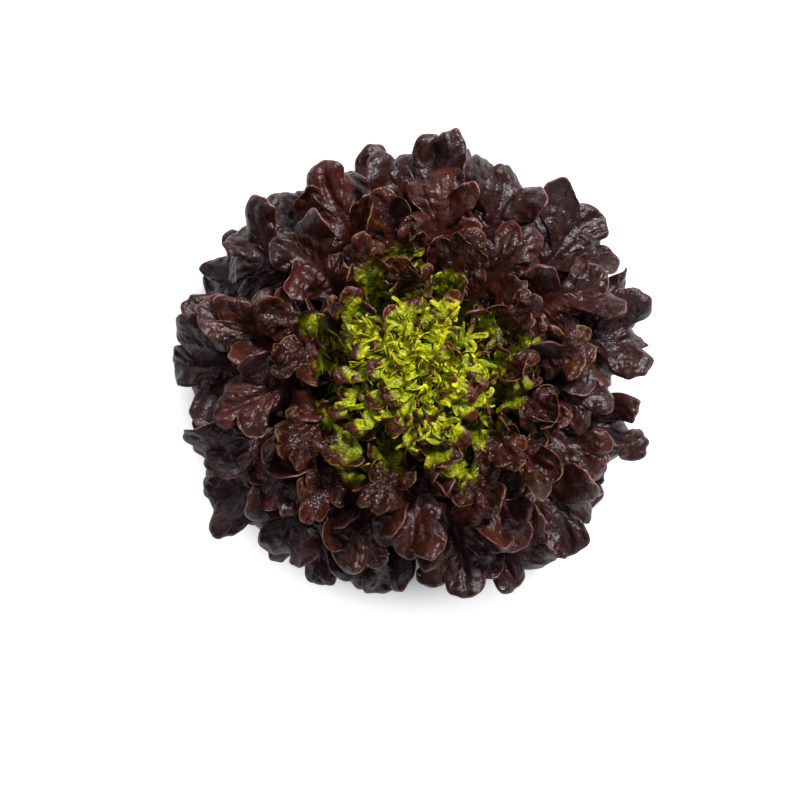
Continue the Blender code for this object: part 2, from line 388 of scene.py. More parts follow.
def shell(points, quads, top, bottom):
    """A closed sheet: the points moved up by top and down by bottom, and joined round the rim."""
    normal = normals_of(points, quads)
    count = len(points)
    both = np.concatenate([points + normal * top[:, None], points - normal * bottom[:, None]])
    start = quads.reshape(-1)
    end = np.roll(quads, -1, axis=1).reshape(-1)
    key = np.minimum(start, end) * count + np.maximum(start, end)
    _, first, times = np.unique(key, return_index=True, return_counts=True)
    rim = first[(times == 1) & (start[first] != end[first])]
    here, there = start[rim], end[rim]
    border = np.stack([there, here, here + count, there + count], 1)
    return both, np.concatenate([quads, quads[:, ::-1] + count, border])


def triangles_of(points, quads):
    """Each quad as two triangles, split along its shorter diagonal, without the ones that have no area."""
    corners = points[quads]
    first_length = np.linalg.norm(corners[:, 0] - corners[:, 2], axis=1)
    second_length = np.linalg.norm(corners[:, 1] - corners[:, 3], axis=1)
    turned = np.where((first_length <= second_length)[:, None], quads, np.roll(quads, -1, axis=1))
    split = np.concatenate([turned[:, [0, 1, 2]], turned[:, [0, 2, 3]]])
    steps = np.diff(np.sort(split, axis=1), axis=1)
    return split[(steps > 0).all(1)]


def add_mesh(name, points, quads, facts, uv):
    """A smooth mesh object with the facts as point attributes and the flat map for baking."""
    mesh = bpy.data.meshes.new(name)
    loops = triangles_of(points, quads).reshape(-1).astype(np.int32)
    starts = np.arange(0, len(loops), 3, dtype=np.int32)
    totals = np.full(len(starts), 3, np.int32)
    mesh.vertices.add(len(points))
    mesh.vertices.foreach_set("co", points.astype(np.float32).reshape(-1))
    mesh.loops.add(len(loops))
    mesh.loops.foreach_set("vertex_index", loops)
    mesh.polygons.add(len(starts))
    mesh.polygons.foreach_set("loop_start", starts)
    mesh.polygons.foreach_set("loop_total", totals)
    for title, values in facts.items():
        layer = mesh.attributes.new(title, "FLOAT", "POINT")
        layer.data.foreach_set("value", values.astype(np.float32))
    layer = mesh.uv_layers.new(name="OFBake")
    layer.data.foreach_set("uv", uv[loops].astype(np.float32).reshape(-1))
    mesh.update()
    mesh.validate()
    mesh.shade_smooth()
    made = bpy.data.objects.new(name, mesh)
    bpy.context.scene.collection.objects.link(made)
    return made


HALF_LEAF = 0.035


def leaf_shell(shape, chance, place_points, density, columns, thickness, rib):
    """The closed leaf in its place, with its facts, and its flat map: top on the left, back on the right."""
    grid, flat, (left, crease, tint, tone, fold), quads = lobed_leaf(shape, chance, density, columns)
    points = place_points(grid)
    out = np.abs(flat[:, 0])
    share = np.clip(flat[:, 1] / shape["length"], 0, 1)
    near_rib = np.exp(-((out / (0.35 * shape["petiole"] + 0.0012)) ** 2))
    half = 0.5 * thickness * (0.55 + 0.45 * smooth(left, 0, 0.002))
    under = half + rib * (1 - 0.9 * share) * near_rib
    both, faces = shell(points, quads, half, under)
    facts = {
        "share": share,
        "edge": left,
        "vein": crease,
        "tint": tint,
        "tone": tone,
        "fold": fold,
        "out": out / HALF_LEAF,
    }
    facts = {title: np.tile(values, 2) for title, values in facts.items()}
    facts["under"] = np.repeat([0.0, 1.0], len(points))
    facts["far"] = np.hypot(both[:, 0], both[:, 1]) / HEAD_RADIUS
    facts["own"] = np.full(len(both), chance.random())
    low, high = flat.min(0), flat.max(0)
    uv = (flat - low) / (high - low).max() * np.array((0.49, 0.98)) + 0.005
    return both, faces, facts, np.concatenate([uv, uv + np.array((0.5, 0))])


# ---------------------------------------------------------------- leaf shapes
# A plan gives one side's lobes from the base up, as (node share, degrees, reach share, half-width share).
# The node is a share of the leaf's length. The other two are shares of the width, a side's usual reach.
OLD_LEAF = {
    "plan": (
        (0.33, 85, 0.44, 0.140),
        (0.41, 80, 0.62, 0.175),
        (0.49, 75, 0.76, 0.205),
        (0.57, 67, 0.84, 0.225),
        (0.65, 55, 0.86, 0.240),
        (0.72, 36, 0.84, 0.245),
    ),
    "tip": (0.77, 0, 0.66, 0.275),
    "width": 0.042,
    "softness": 0.72,
    "frill": 1.2,
    "ruffle": 0.0017,
    "web": 0.35,
    "blister": 0.0052,
    "blister_depth": 0.0019,
}
INNER_LEAF = {
    **OLD_LEAF,
    "plan": (
        (0.34, 82, 0.42, 0.14),
        (0.43, 76, 0.62, 0.19),
        (0.52, 69, 0.80, 0.23),
        (0.61, 58, 0.88, 0.26),
        (0.69, 34, 0.92, 0.27),
    ),
    "tip": (0.74, 0, 0.86, 0.31),
    "width": 0.035,
    "softness": 1.0,
}
HEART_LEAF = {
    "plan": (
        (0.380, 80, 0.50, 0.090),
        (0.415, 79, 0.56, 0.095),
        (0.450, 78, 0.60, 0.095),
        (0.485, 77, 0.62, 0.095),
        (0.520, 76, 0.64, 0.100),
        (0.555, 74, 0.64, 0.100),
        (0.590, 72, 0.64, 0.100),
        (0.625, 70, 0.64, 0.105),
        (0.665, 66, 0.66, 0.120),
        (0.730, 58, 0.74, 0.210),
        (0.800, 36, 0.76, 0.250),
    ),
    "tip": (0.82, 0, 0.74, 0.28),
    "width": 0.027,
    "softness": 1.0,
    "frill": 1.5,
    "ruffle": 0.0015,
    "web": 0.9,
    "blister": 0.0042,
    "blister_depth": 0.0009,
}
INNER_FROM, HEART_FROM = 0.44, 0.66
YOUNGEST_WIDTH = 0.022
OLDEST_SCALE, INNER_SCALE, HEART_SCALE = 0.0085, 0.0050, 0.0034
FRINGE_LOBE, FULL_LOBE = 0.14, 0.20
NODE_DRIFT, ANGLE_SPREAD = 0.008, 10
FULL_RED, MIDDLE_TONE = 1.0, 0.5


def random_lobes(chance, length, width, plan, spread, drift):
    """Lobes from a plan, with each node, angle, reach and half width a little off."""
    lobes = []
    for node, angle, reach, half in plan:
        node = (node + chance.uniform(-drift, drift)) * length
        angle = math.radians(angle + chance.uniform(-spread, spread))
        reach = reach * width * chance.uniform(0.84, 1.10)
        half = half * width * chance.uniform(0.80, 1.18)
        lobes.append((node, angle, reach, half))
    return lobes


def lobe_mood(chance, flip, strength, softness, tint):
    """How one lobe bends: its pitch, curl, twist, cup and hook in radians, and its redness and tone."""
    bowl = chance.choice((-1, -1, 1))
    pitch = (flip * chance.uniform(8, 42) - bowl * chance.uniform(8, 32)) * strength
    curl = bowl * chance.uniform(30, 95) * strength * softness
    twist = chance.uniform(-48, 48) * strength
    cup = bowl * chance.uniform(20, 62) * softness
    hook = chance.uniform(-28, 28) * strength
    return tuple(math.radians(value) for value in (pitch, curl, twist, cup, hook)) + (tint, chance.random())


def side_shape(chance, youth, length, width, kind):
    """One side's lobes, slopes and moods. Some of the heart's small fringe lobes are larger and brown."""
    plan = kind["plan"]
    lobes = random_lobes(chance, length, width, plan, ANGLE_SPREAD, NODE_DRIFT)
    flip = chance.choice((-1, 1))
    droop = 5 - 22 * (1 - smooth(youth, 0.05, 0.30))
    slopes, moods = [], []
    for number, (place, _, _, share) in enumerate(plan):
        flip = -flip if chance.random() < 0.85 else flip
        slopes.append(math.radians(flip * chance.uniform(10, 34) + droop))
        tint = smooth(place + chance.uniform(-0.14, 0.14), 0.54, 0.62)
        strength = 0.6 + 0.4 * number / (len(plan) - 1)
        if youth > HEART_FROM and share > FULL_LOBE and chance.random() < 0.85:
            tint = FULL_RED
        if share < FRINGE_LOBE:
            strength = 1.6
            if chance.random() < 0.20:
                tint = FULL_RED
                node, angle, reach, half = lobes[number]
                lobes[number] = (node, angle, 1.2 * reach, 2.1 * half)
        moods.append(lobe_mood(chance, flip, strength, kind["softness"], tint))
    return lobes, slopes, moods


def leaf_shape(chance, youth, length):
    """A leaf's lobes, moods and ruffles, from its kind and its place between the oldest and the youngest."""
    if youth > HEART_FROM:
        kind, scale = HEART_LEAF, HEART_SCALE
        width = between(kind["width"], YOUNGEST_WIDTH, (youth - HEART_FROM) / (1 - HEART_FROM))
    else:
        kind = INNER_LEAF if youth > INNER_FROM else OLD_LEAF
        width, scale = kind["width"], between(OLDEST_SCALE, INNER_SCALE, youth)
    sides, slopes, moods = zip(*(side_shape(chance, youth, length, width, kind) for _ in range(2)))
    return {
        "length": length,
        "petiole": between(0.0050, 0.0025, youth),
        "sides": sides,
        "tip": random_lobes(chance, length, width, (kind["tip"],), 0, NODE_DRIFT)[0],
        "slopes": slopes,
        "moods": moods,
        "tip_mood": lobe_mood(chance, chance.choice((-1, 1)), 0.9, kind["softness"], FULL_RED),
        "trough": 0.16,
        "frill": kind["frill"],
        "scale": scale,
        "swell": 0.0022,
        "ruffle": kind["ruffle"],
        "web": kind["web"],
        "blister": kind["blister"],
        "blister_depth": kind["blister_depth"],
        "crease": 0.0004,
        "rim": 0.0007,
    }


# ---------------------------------------------------------------- leaves in their places
def veered(grid, start, length, angle):
    """The flat leaf's end swings aside: its midrib turns by the angle between start and length."""
    line = np.linspace(start, length * 1.3, 60)
    turn = angle * smooth(line, start, start + 0.7 * (length - start))
    step = line[1] - line[0]
    x = np.concatenate([[0], np.cumsum(np.sin(turn[:-1])) * step])
    y = start + np.concatenate([[0], np.cumsum(np.cos(turn[:-1])) * step])
    along, aside = grid[:, 1].copy(), grid[:, 0].copy()
    beyond = along > start
    now = np.interp(along, line, turn)
    grid[:, 0] = np.where(beyond, np.interp(along, line, x) + aside * np.cos(now), aside)
    grid[:, 1] = np.where(beyond, np.interp(along, line, y) - aside * np.sin(now), along)
    return grid


SLOPE_STEP = 0.0015


def place_on(table, heading, roll, straight=False):
    """Lays a flat leaf on its level: wrapped round the head's axis, or straight across for the smallest."""
    arc, radius, height = table

    def place(grid):
        aside, along, up = grid[:, 0], grid[:, 1], grid[:, 2]
        ahead, behind = along + SLOPE_STEP, along - SLOPE_STEP
        outward = np.interp(ahead, arc, radius) - np.interp(behind, arc, radius)
        upward = np.interp(ahead, arc, height) - np.interp(behind, arc, height)
        size = np.hypot(outward, upward)
        out = np.interp(along, arc, radius)
        lift = up + roll * aside
        far = out - lift * upward / size
        high = np.interp(along, arc, height) + lift * outward / size
        if straight:
            sine, cosine = math.sin(heading), math.cos(heading)
            return np.stack([far * cosine - aside * sine, far * sine + aside * cosine, high], 1)
        turn = heading + aside / np.maximum(out, 0.6 * np.abs(aside) + 0.004)
        return np.stack([far * np.cos(turn), far * np.sin(turn), high], 1)

    return place


FLOOR = 0.0012
FLOOR_BEND = 0.0016


def above_floor(points):
    """Keeps a leaf off the table: what would reach below it lies on it."""
    over = points[:, 2] - FLOOR
    points[:, 2] = FLOOR + 0.5 * (over + np.sqrt(over**2 + FLOOR_BEND**2))
    return points


def make_leaf(name, number, material):
    """One leaf on its CAD level, from its number in the order of growth."""
    chance = random.Random(SEED + number)
    youth = number / LEAF_COUNT
    heading = number * GOLDEN_ANGLE + chance.uniform(-1, 1) * HEADING_SPREAD
    roll = chance.uniform(-1, 1) * ROLL_SPREAD
    reach = chance.uniform(-1, 1) * REACH_SPREAD
    table = curve_table(level(youth, reach))
    # The head is a little wider than it is deep.
    length = table[0][-2] * (1 - 0.055 * math.sin(heading) ** 2)
    looks = random.Random(77 * SEED + number)
    shape = leaf_shape(looks, youth, length)
    lay = place_on(table, heading, roll)
    lift, swing = looks.uniform(-0.005, 0.008), math.radians(looks.uniform(-20, 20))
    lift -= 0.018 * (1 - smooth(youth, 0.0, 0.22))

    def place(grid):
        """The leaf's end is raised or lowered and swings aside a little."""
        grid[:, 2] += lift * smooth(grid[:, 1] / length, 0.35, 1.0)
        return above_floor(lay(veered(grid, 0.4 * length, length, swing)))

    both, faces, facts, uv = leaf_shell(
        shape, looks, place, density=1.1, columns=17, thickness=0.0006, rib=0.0020
    )
    made = add_mesh(name, both, faces, facts, uv)
    made.data.materials.append(material)
    return made


# ---------------------------------------------------------------- the small leaves of the growing tip
BUD_SEED = 9000
BUD_LEAVES = 61
BUD_REACH = 0.048
BUD_WIDTH = 0.0092
BUD_CELLS = 9
# Each lobe is (how far back from the tip, as a share of the blade, degrees, reach share, half-width share).
BUD_PLAN = (
    (1.00, 78, 0.80, 0.13),
    (0.89, 74, 1.00, 0.15),
    (0.78, 70, 1.15, 0.16),
    (0.67, 62, 1.25, 0.17),
    (0.56, 50, 1.30, 0.17),
    (0.46, 28, 1.30, 0.17),
)
BUD_TIP_BACK = 0.40
GREEN_ONLY = 8


def bud_curve(chance, out, top):
    """A small leaf's Bezier curve: it rises from the stem's top, and lies over at the head's top."""
    dip = math.radians(between(-12, 22, out) + chance.uniform(-10, 10))
    end = (BUD_REACH * out + 0.002, top + 0.0045 - 0.010 * out**2 + chance.uniform(-0.0015, 0.0015))
    base = (0.002 + 0.010 * out, between(STEM_HEIGHT, STEM_HEIGHT - 0.007, out**2) + 0.0008)
    first = (base[0] - 0.2 * end[0], base[1] + 0.6 * (end[1] - base[1]))
    last = (end[0] - 0.026 * math.cos(dip), end[1] + 0.020 * math.sin(dip))
    return base, first, last, end


def random_turns(chance, limits):
    """A pitch, curl, twist, cup and hook in radians, each within its limit in degrees."""
    return tuple(math.radians(chance.uniform(-limit, limit)) for limit in limits)


def bud_side(chance, length, plan, out):
    """One side's narrow, crinkled lobes, with their slopes and moods: more of the outer ones are red."""
    lobes = random_lobes(chance, length, BUD_WIDTH, plan, ANGLE_SPREAD, 0.006)
    slopes = [math.radians(chance.uniform(-20, 28)) for _ in plan]
    red_share = 0.03 + 0.45 * out**2
    tints = [chance.uniform(0.5, 1) if chance.random() < red_share else 0.0 for _ in plan]
    turns = [random_turns(chance, (60, 110, 75, 60, 80)) for _ in plan]
    return lobes, slopes, [turn + (tint, chance.random()) for turn, tint in zip(turns, tints)]


def bud_shape(chance, length, blade, out, may_be_brown):
    """A small leaf's shape: its end lobe is either small and green, or large, brown and cupped."""
    plan = tuple((1 - blade * back / length, angle, reach, half) for back, angle, reach, half in BUD_PLAN)
    tip_node = 1 - blade * BUD_TIP_BACK / length
    sides, slopes, moods = zip(*(bud_side(chance, length, plan, out) for _ in range(2)))
    if may_be_brown and chance.random() < 0.55:
        tip = (tip_node, 0, 1.60, chance.uniform(0.55, 0.80))
        bowl = chance.choice((-1, 1))
        bends = (-40 * bowl, 95 * bowl, chance.uniform(-60, 60), 60 * bowl, chance.uniform(-50, 50))
        tip_mood = tuple(math.radians(value) for value in bends) + (FULL_RED, MIDDLE_TONE)
    else:
        tip = (tip_node, 0, 1.25, 0.18)
        tip_mood = random_turns(chance, (35, 60, 40, 60, 40)) + (0.0, MIDDLE_TONE)
    return {
        "length": length,
        "petiole": 0.0009,
        "sides": sides,
        "tip": random_lobes(chance, length, BUD_WIDTH, (tip,), 0, 0)[0],
        "slopes": slopes,
        "moods": moods,
        "tip_mood": tip_mood,
        "trough": 0.25,
        "frill": 3.2,
        "scale": 0.0019,
        "swell": 0.0012,
        "ruffle": 0.0009,
        "web": 1.0,
        "blister": 0.0012,
        "blister_depth": 0.0004,
        "crease": 0.0003,
        "rim": 0.0002,
    }


def make_bud(material):
    """The small leaves, as one piece. Their flat maps share one square, a cell to each."""
    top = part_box("heart_bud")[1][2]
    parts, total = [], 0
    for number in range(BUD_LEAVES):
        chance = random.Random(BUD_SEED + number)
        out = math.sqrt((number + 0.5) / BUD_LEAVES)
        heading = number * GOLDEN_ANGLE + chance.uniform(-0.3, 0.3)
        table = curve_table(bud_curve(chance, out, top))
        length = table[0][-2]
        blade = chance.uniform(0.021, 0.027)
        shape = bud_shape(chance, length, blade, out, number > GREEN_ONLY)
        lay = place_on(table, heading, chance.uniform(-0.25, 0.25), straight=True)
        swing = math.radians(chance.uniform(-65, 65))
        start = length - 1.15 * blade
        place = lambda grid: lay(veered(grid, start, length, swing))
        both, faces, facts, uv = leaf_shell(
            shape, chance, place, density=0.78, columns=5, thickness=0.0004, rib=0.0004
        )
        cell = np.array((number % BUD_CELLS, number // BUD_CELLS)) / BUD_CELLS
        parts.append((both, faces + total, facts, cell + uv / (BUD_CELLS + 0.1)))
        total += len(both)
    points, faces, uv = (np.concatenate([part[n] for part in parts]) for n in (0, 1, 3))
    facts = {title: np.concatenate([part[2][title] for part in parts]) for title in parts[0][2]}
    made = add_mesh("heart_bud_leaves", points, faces, facts, uv)
    made.data.materials.append(material)
    return made


# ---------------------------------------------------------------- the stem
STEM_SIDES = 96
CUT_RINGS = ((0.0, 0.9), (0.0045, 0.35), (0.008, 0.2), (0.011, 0.4), (CUT_RADIUS - 0.0006, 1.0))
SCARS_FROM, SCARS_TO = 0.004, 0.046


def make_stem(material):
    """The stem, turned about the axis, with a brown cut foot and shallow scars where leaves came off."""
    foot = math.pi - math.asin(CUT_RADIUS / STEM_RADIUS)
    profile = [(radius, 0.0, brown) for radius, brown in CUT_RINGS]
    for share in np.linspace(0.015, 1, 44):
        profile.append(stem_point(between(foot, 0.0, share)) + (max(0.0, 1 - 14 * share),))
    points, facts, uv = [], [], []
    for row, (radius, height, brown) in enumerate(profile):
        for side in range(STEM_SIDES):
            turn = 2 * math.pi * side / STEM_SIDES
            if height > 0:
                uneven = 0.012 * math.sin(5 * turn + 60 * height) + 0.010 * math.sin(11 * turn - 90 * height)
            else:
                uneven = 0.012 * math.sin(5 * turn)
            scarred = SCARS_FROM < height < SCARS_TO
            scar = 0.0004 * max(0, math.sin(8 * turn + 520 * height)) if scarred else 0.0
            own = min(radius * (1 + uneven) - scar, radius)
            points.append((own * math.cos(turn), own * math.sin(turn), height))
            facts.append(brown)
            uv.append((side / STEM_SIDES, row / len(profile)))
    rows = len(profile)
    ids = np.arange(rows * STEM_SIDES).reshape(rows, STEM_SIDES)
    quads = np.stack([ids[:-1], np.roll(ids[:-1], -1, 1), np.roll(ids[1:], -1, 1), ids[1:]], 2).reshape(-1, 4)
    # The first and last rings are points on the axis.
    crown = (rows - 1) * STEM_SIDES
    quads = np.where(quads < STEM_SIDES, 0, quads)
    quads = np.where(quads >= crown, crown, quads)
    made = add_mesh("cut_stem", np.array(points), quads, {"cut": np.array(facts)}, np.array(uv))
    made.data.materials.append(material)
    return made


# ---------------------------------------------------------------- materials
class Graph:
    """A material's node graph, with a short method for each kind of node that is used here."""

    def __init__(self, name):
        self.material = bpy.data.materials.new(name)
        self.material.use_nodes = True
        self.nodes = self.material.node_tree.nodes
        self.links = self.material.node_tree.links
        self.shader = self.nodes["Principled BSDF"]

    def add(self, kind, **settings):
        node = self.nodes.new(kind)
        for name, value in settings.items():
            setattr(node, name, value)
        return node

    def put(self, socket, value):
        if isinstance(value, bpy.types.NodeSocket):
            self.links.new(value, socket)
        else:
            socket.default_value = value

    def set_shader(self, **values):
        for name, value in values.items():
            self.put(self.shader.inputs[name.replace("_", " ")], value)

    def where(self):
        return self.add("ShaderNodeTexCoord").outputs["Object"]

    def fact(self, name):
        return self.add("ShaderNodeAttribute", attribute_name=name).outputs["Fac"]

    def math(self, operation, first, second=0.0, third=0.0):
        node = self.add("ShaderNodeMath", operation=operation)
        for socket, value in zip(node.inputs, (first, second, third)):
            self.put(socket, value)
        return node.outputs[0]

    def times(self, first, second):
        return self.math("MULTIPLY", first, second)

    def plus(self, base, extra, share=1.0):
        """The base with a share of the extra on top."""
        return self.math("MULTIPLY_ADD", extra, share, base)

    def ramp(self, value, low, high, start=0.0, end=1.0):
        """Goes smoothly from start to end while the value goes from low to high."""
        node = self.add("ShaderNodeMapRange", interpolation_type="SMOOTHSTEP")
        for socket, number in zip(node.inputs, (value, low, high, start, end)):
            self.put(socket, number)
        return node.outputs[0]

    def mix(self, share, first, second, blend="MIX"):
        node = self.add("ShaderNodeMix", data_type="RGBA", blend_type=blend)
        self.put(node.inputs["Factor"], share)
        self.put(node.inputs[6], first)
        self.put(node.inputs[7], second)
        return node.outputs[2]

    def noise(self, scale, detail=3.0, roughness=0.55):
        node = self.add("ShaderNodeTexNoise")
        self.put(node.inputs["Vector"], self.where())
        node.inputs["Scale"].default_value = scale
        node.inputs["Detail"].default_value = detail
        node.inputs["Roughness"].default_value = roughness
        return node.outputs["Fac"]

    def cells(self, scale):
        node = self.add("ShaderNodeTexVoronoi", feature="F1")
        self.put(node.inputs["Vector"], self.where())
        node.inputs["Scale"].default_value = scale
        return node.outputs["Distance"]

    def puckers(self, scale):
        """How far a place is from the creases of a warped net: 0 in a crease, and 0.3 to 0.5 on a crest."""
        warp = self.add("ShaderNodeTexNoise")
        self.put(warp.inputs["Vector"], self.where())
        warp.inputs["Scale"].default_value = 0.7 * scale
        shift = self.add("ShaderNodeVectorMath", operation="MULTIPLY_ADD")
        self.put(shift.inputs[0], warp.outputs["Color"])
        shift.inputs[1].default_value = (1.3 / scale,) * 3
        self.put(shift.inputs[2], self.where())
        node = self.add("ShaderNodeTexVoronoi", feature="DISTANCE_TO_EDGE")
        self.put(node.inputs["Vector"], shift.outputs[0])
        node.inputs["Scale"].default_value = scale
        return node.outputs["Distance"]

    def bump(self, height, strength, distance):
        node = self.add("ShaderNodeBump")
        node.inputs["Strength"].default_value = strength
        node.inputs["Distance"].default_value = distance
        self.put(node.inputs["Height"], height)
        self.put(self.shader.inputs["Normal"], node.outputs[0])


MAROON = (0.0140, 0.0016, 0.0009, 1)
DEEP = (0.0040, 0.0006, 0.0005, 1)
INNER_MAROON = (0.072, 0.0100, 0.0026, 1)
BUD_BROWN = (0.130, 0.027, 0.006, 1)
LEAF_GREEN = (0.10, 0.13, 0.004, 1)
HEART_GREEN = (0.72, 0.72, 0.003, 1)
BUD_GREEN = (0.93, 0.92, 0.003, 1)
# The rim colours are partly the thin edge's own paler colour and partly a painted highlight along the margin.
PINK_RIM_AND_HIGHLIGHT = (0.27, 0.10, 0.095, 1)
AMBER_RIM_AND_HIGHLIGHT = (0.25, 0.11, 0.040, 1)
LIME_RIM_AND_HIGHLIGHT = (0.76, 0.76, 0.050, 1)
LEAF_BACK = (0.052, 0.012, 0.008, 1)
# These darken or lighten what they are multiplied with. The valley and groove tints are painted shade in the
# ruffle valleys and pucker creases, the crest tint is a painted highlight on the pucker crests, the speck
# tint a mottle.
VALLEY_SHADE_TINT = (0.22, 0.36, 0.45, 1)
SPECK_TINT = (0.42, 0.60, 0.55, 1)
GROOVE_SHADE_TINT = (0.16, 0.30, 0.35, 1)
CREST_HIGHLIGHT_TINT = (1.30, 1.28, 1.6, 1)
BORDER = 0.0040
RIM_AND_HIGHLIGHT_WIDTH = 0.0014


def leaf_redness(graph, along, outward, tinted):
    """0 where a leaf is green and 1 where it has had light: by length, by radius, and on its lobes."""
    patch = graph.plus(graph.times(graph.noise(55.0, 3.0), 0.55), graph.noise(210.0, 4.0), 0.45)
    uneven = graph.math("SUBTRACT", patch, 0.5)
    border = graph.ramp(graph.fact("edge"), 0.0, BORDER, 0.13, 0.0)
    by_length = graph.plus(graph.plus(graph.fact("share"), uneven, 0.35), graph.fact("out"), 0.12)
    by_length = graph.ramp(graph.plus(by_length, border), *along)
    own = graph.times(graph.math("SUBTRACT", graph.fact("own"), 0.5), 0.16)
    by_radius = graph.ramp(graph.plus(graph.plus(graph.fact("far"), uneven, 0.25), own), *outward)
    lobe = graph.plus(graph.plus(graph.fact("tint"), uneven, 0.5), border, 2.5)
    lobe = graph.times(graph.ramp(lobe, 0.22, 0.85), graph.ramp(graph.fact("tint"), 0.0, 0.2))
    return graph.math("MAXIMUM", graph.times(by_length, by_radius), graph.times(lobe, tinted))


def leaf_material(name, colours, along, outward, tinted, folded, roughness, bump, gloss, glow=0.0):
    """A waxy leaf: green at its base and near the axis, maroon where it has had light, with painted shade in
    its folds and creases, a painted highlight on its crests, and pale rims that are partly painted highlight.
    """
    graph = Graph(name)
    maroon, deep, green, rim = colours
    red = leaf_redness(graph, along, outward, tinted)
    tone = graph.plus(graph.fact("tone"), graph.noise(38.0, 3.0), 1.2)
    dark = graph.mix(graph.ramp(tone, 0.70, 1.45), maroon, deep)
    pale_green = tuple(value * share for value, share in zip(green, (0.38, 0.50, 0.5, 1)))
    mottle = graph.plus(graph.noise(90.0), graph.fact("tone"), 0.5)
    leafy = graph.mix(graph.ramp(mottle, 0.50, 1.0), green, pale_green)
    olive = tuple(0.5 * a + 0.25 * b for a, b in zip(maroon, green))
    colour = graph.mix(graph.ramp(red, 0.0, 0.55), leafy, olive)
    colour = graph.mix(graph.ramp(red, 0.35, 0.95), colour, dark)

    # Painted shade: the low places of the ruffles are multiplied darker and greener.
    painted_valley_shade = graph.times(graph.ramp(graph.fact("fold"), 0.10, 0.55, 1.0, 0.0), folded)
    colour = graph.mix(painted_valley_shade, colour, VALLEY_SHADE_TINT, "MULTIPLY")
    speck = graph.times(graph.ramp(graph.noise(420.0, 4.0), 0.42, 0.66), 0.75 * folded)
    colour = graph.mix(speck, colour, SPECK_TINT, "MULTIPLY")
    net = graph.puckers(between(210, 330, folded))
    # Painted shade: the creases of the pucker net, which the bump also sinks, are multiplied darker.
    painted_groove_shade = graph.ramp(net, 0.0, between(0.16, 0.11, folded), 0.75 * folded, 0.0)
    colour = graph.mix(painted_groove_shade, colour, GROOVE_SHADE_TINT, "MULTIPLY")
    # Painted highlight: the crests of the pucker net are multiplied lighter and bluer, a lilac sheen.
    crest = graph.ramp(net, 0.14, 0.42, 0.0, 0.55 * folded)
    colour = graph.mix(crest, colour, CREST_HIGHLIGHT_TINT, "MULTIPLY")
    pits = graph.ramp(graph.noise(330.0, 3.0), 0.50, 0.78, 0.0, 0.45)
    colour = graph.mix(pits, colour, tuple(0.35 * value for value in maroon[:3]) + (1,))
    vein = tuple(0.4 * a + 0.16 * b + 0.02 for a, b in zip(maroon, green))
    colour = graph.mix(graph.times(graph.fact("vein"), 0.30), colour, vein)
    colour = graph.mix(graph.times(graph.fact("under"), 0.35), colour, LEAF_BACK)

    # Pale rim: partly the thin edge's own paler colour and partly a painted highlight along the margin.
    pale_rim_and_highlight = graph.ramp(graph.fact("edge"), 0.0001, RIM_AND_HIGHLIGHT_WIDTH, 0.90, 0.0)
    pale_rim_and_highlight = graph.times(pale_rim_and_highlight, graph.ramp(graph.noise(150.0, 3.0), 0.38, 0.58, 0.25, 1.0))
    colour = graph.mix(pale_rim_and_highlight, colour, graph.mix(graph.ramp(red, 0.2, 0.7), LIME_RIM_AND_HIGHLIGHT, rim))

    height = graph.plus(graph.cells(210.0), graph.cells(480.0), 0.6)
    height = graph.plus(height, graph.noise(520.0), 0.7)
    height = graph.plus(height, graph.math("MINIMUM", net, 0.30), between(0.4, 4.0, folded))
    height = graph.plus(height, graph.noise(150.0, 5.0, 0.6), between(7.5, 0.6, folded))
    graph.bump(height, bump, 0.0012)
    graph.set_shader(
        Base_Color=colour,
        Roughness=graph.math("MULTIPLY_ADD", graph.noise(120.0), 0.26, roughness - 0.13),
        Specular_IOR_Level=gloss,
        Subsurface_Weight=glow,
        Subsurface_Radius=(0.5, 0.6, 0.1),
        Subsurface_Scale=0.003,
    )
    return graph.material


# For each kind: its colours, from where to where it reddens by share of its length and by share of the head's
# radius, how red its tinted lobes are, how strongly its folds and puckers get painted shade, painted
# highlight and specks, and its wax.
WAX = {
    "outer_leaf": {
        "colours": (MAROON, DEEP, LEAF_GREEN, PINK_RIM_AND_HIGHLIGHT),
        "along": (0.15, 0.45),
        "outward": (0.15, 0.40),
        "tinted": 0.5,
        "folded": 0.3,
        "roughness": 0.38,
        "bump": 0.28,
        "gloss": 0.44,
    },
    "middle_leaf": {
        "colours": (MAROON, DEEP, LEAF_GREEN, PINK_RIM_AND_HIGHLIGHT),
        "along": (0.22, 0.52),
        "outward": (0.20, 0.44),
        "tinted": 0.8,
        "folded": 0.3,
        "roughness": 0.37,
        "bump": 0.28,
        "gloss": 0.44,
    },
    "inner_leaf": {
        "colours": (INNER_MAROON, DEEP, LEAF_GREEN, PINK_RIM_AND_HIGHLIGHT),
        "along": (0.30, 0.55),
        "outward": (0.24, 0.42),
        "tinted": 0.9,
        "folded": 0.35,
        "roughness": 0.36,
        "bump": 0.26,
        "gloss": 0.42,
    },
    "heart_leaf": {
        "colours": (INNER_MAROON, DEEP, HEART_GREEN, AMBER_RIM_AND_HIGHLIGHT),
        "along": (0.66, 0.76),
        "outward": (0.34, 0.44),
        "tinted": 1.0,
        "folded": 0.8,
        "roughness": 0.34,
        "bump": 0.36,
        "gloss": 0.30,
        "glow": 0.1,
    },
    "heart_bud": {
        "colours": (BUD_BROWN, INNER_MAROON, BUD_GREEN, AMBER_RIM_AND_HIGHLIGHT),
        "along": (1.0, 1.3),
        "outward": (0.30, 0.45),
        "tinted": 1.0,
        "folded": 0.65,
        "roughness": 0.34,
        "bump": 0.36,
        "gloss": 0.26,
        "glow": 0.15,
    },
}


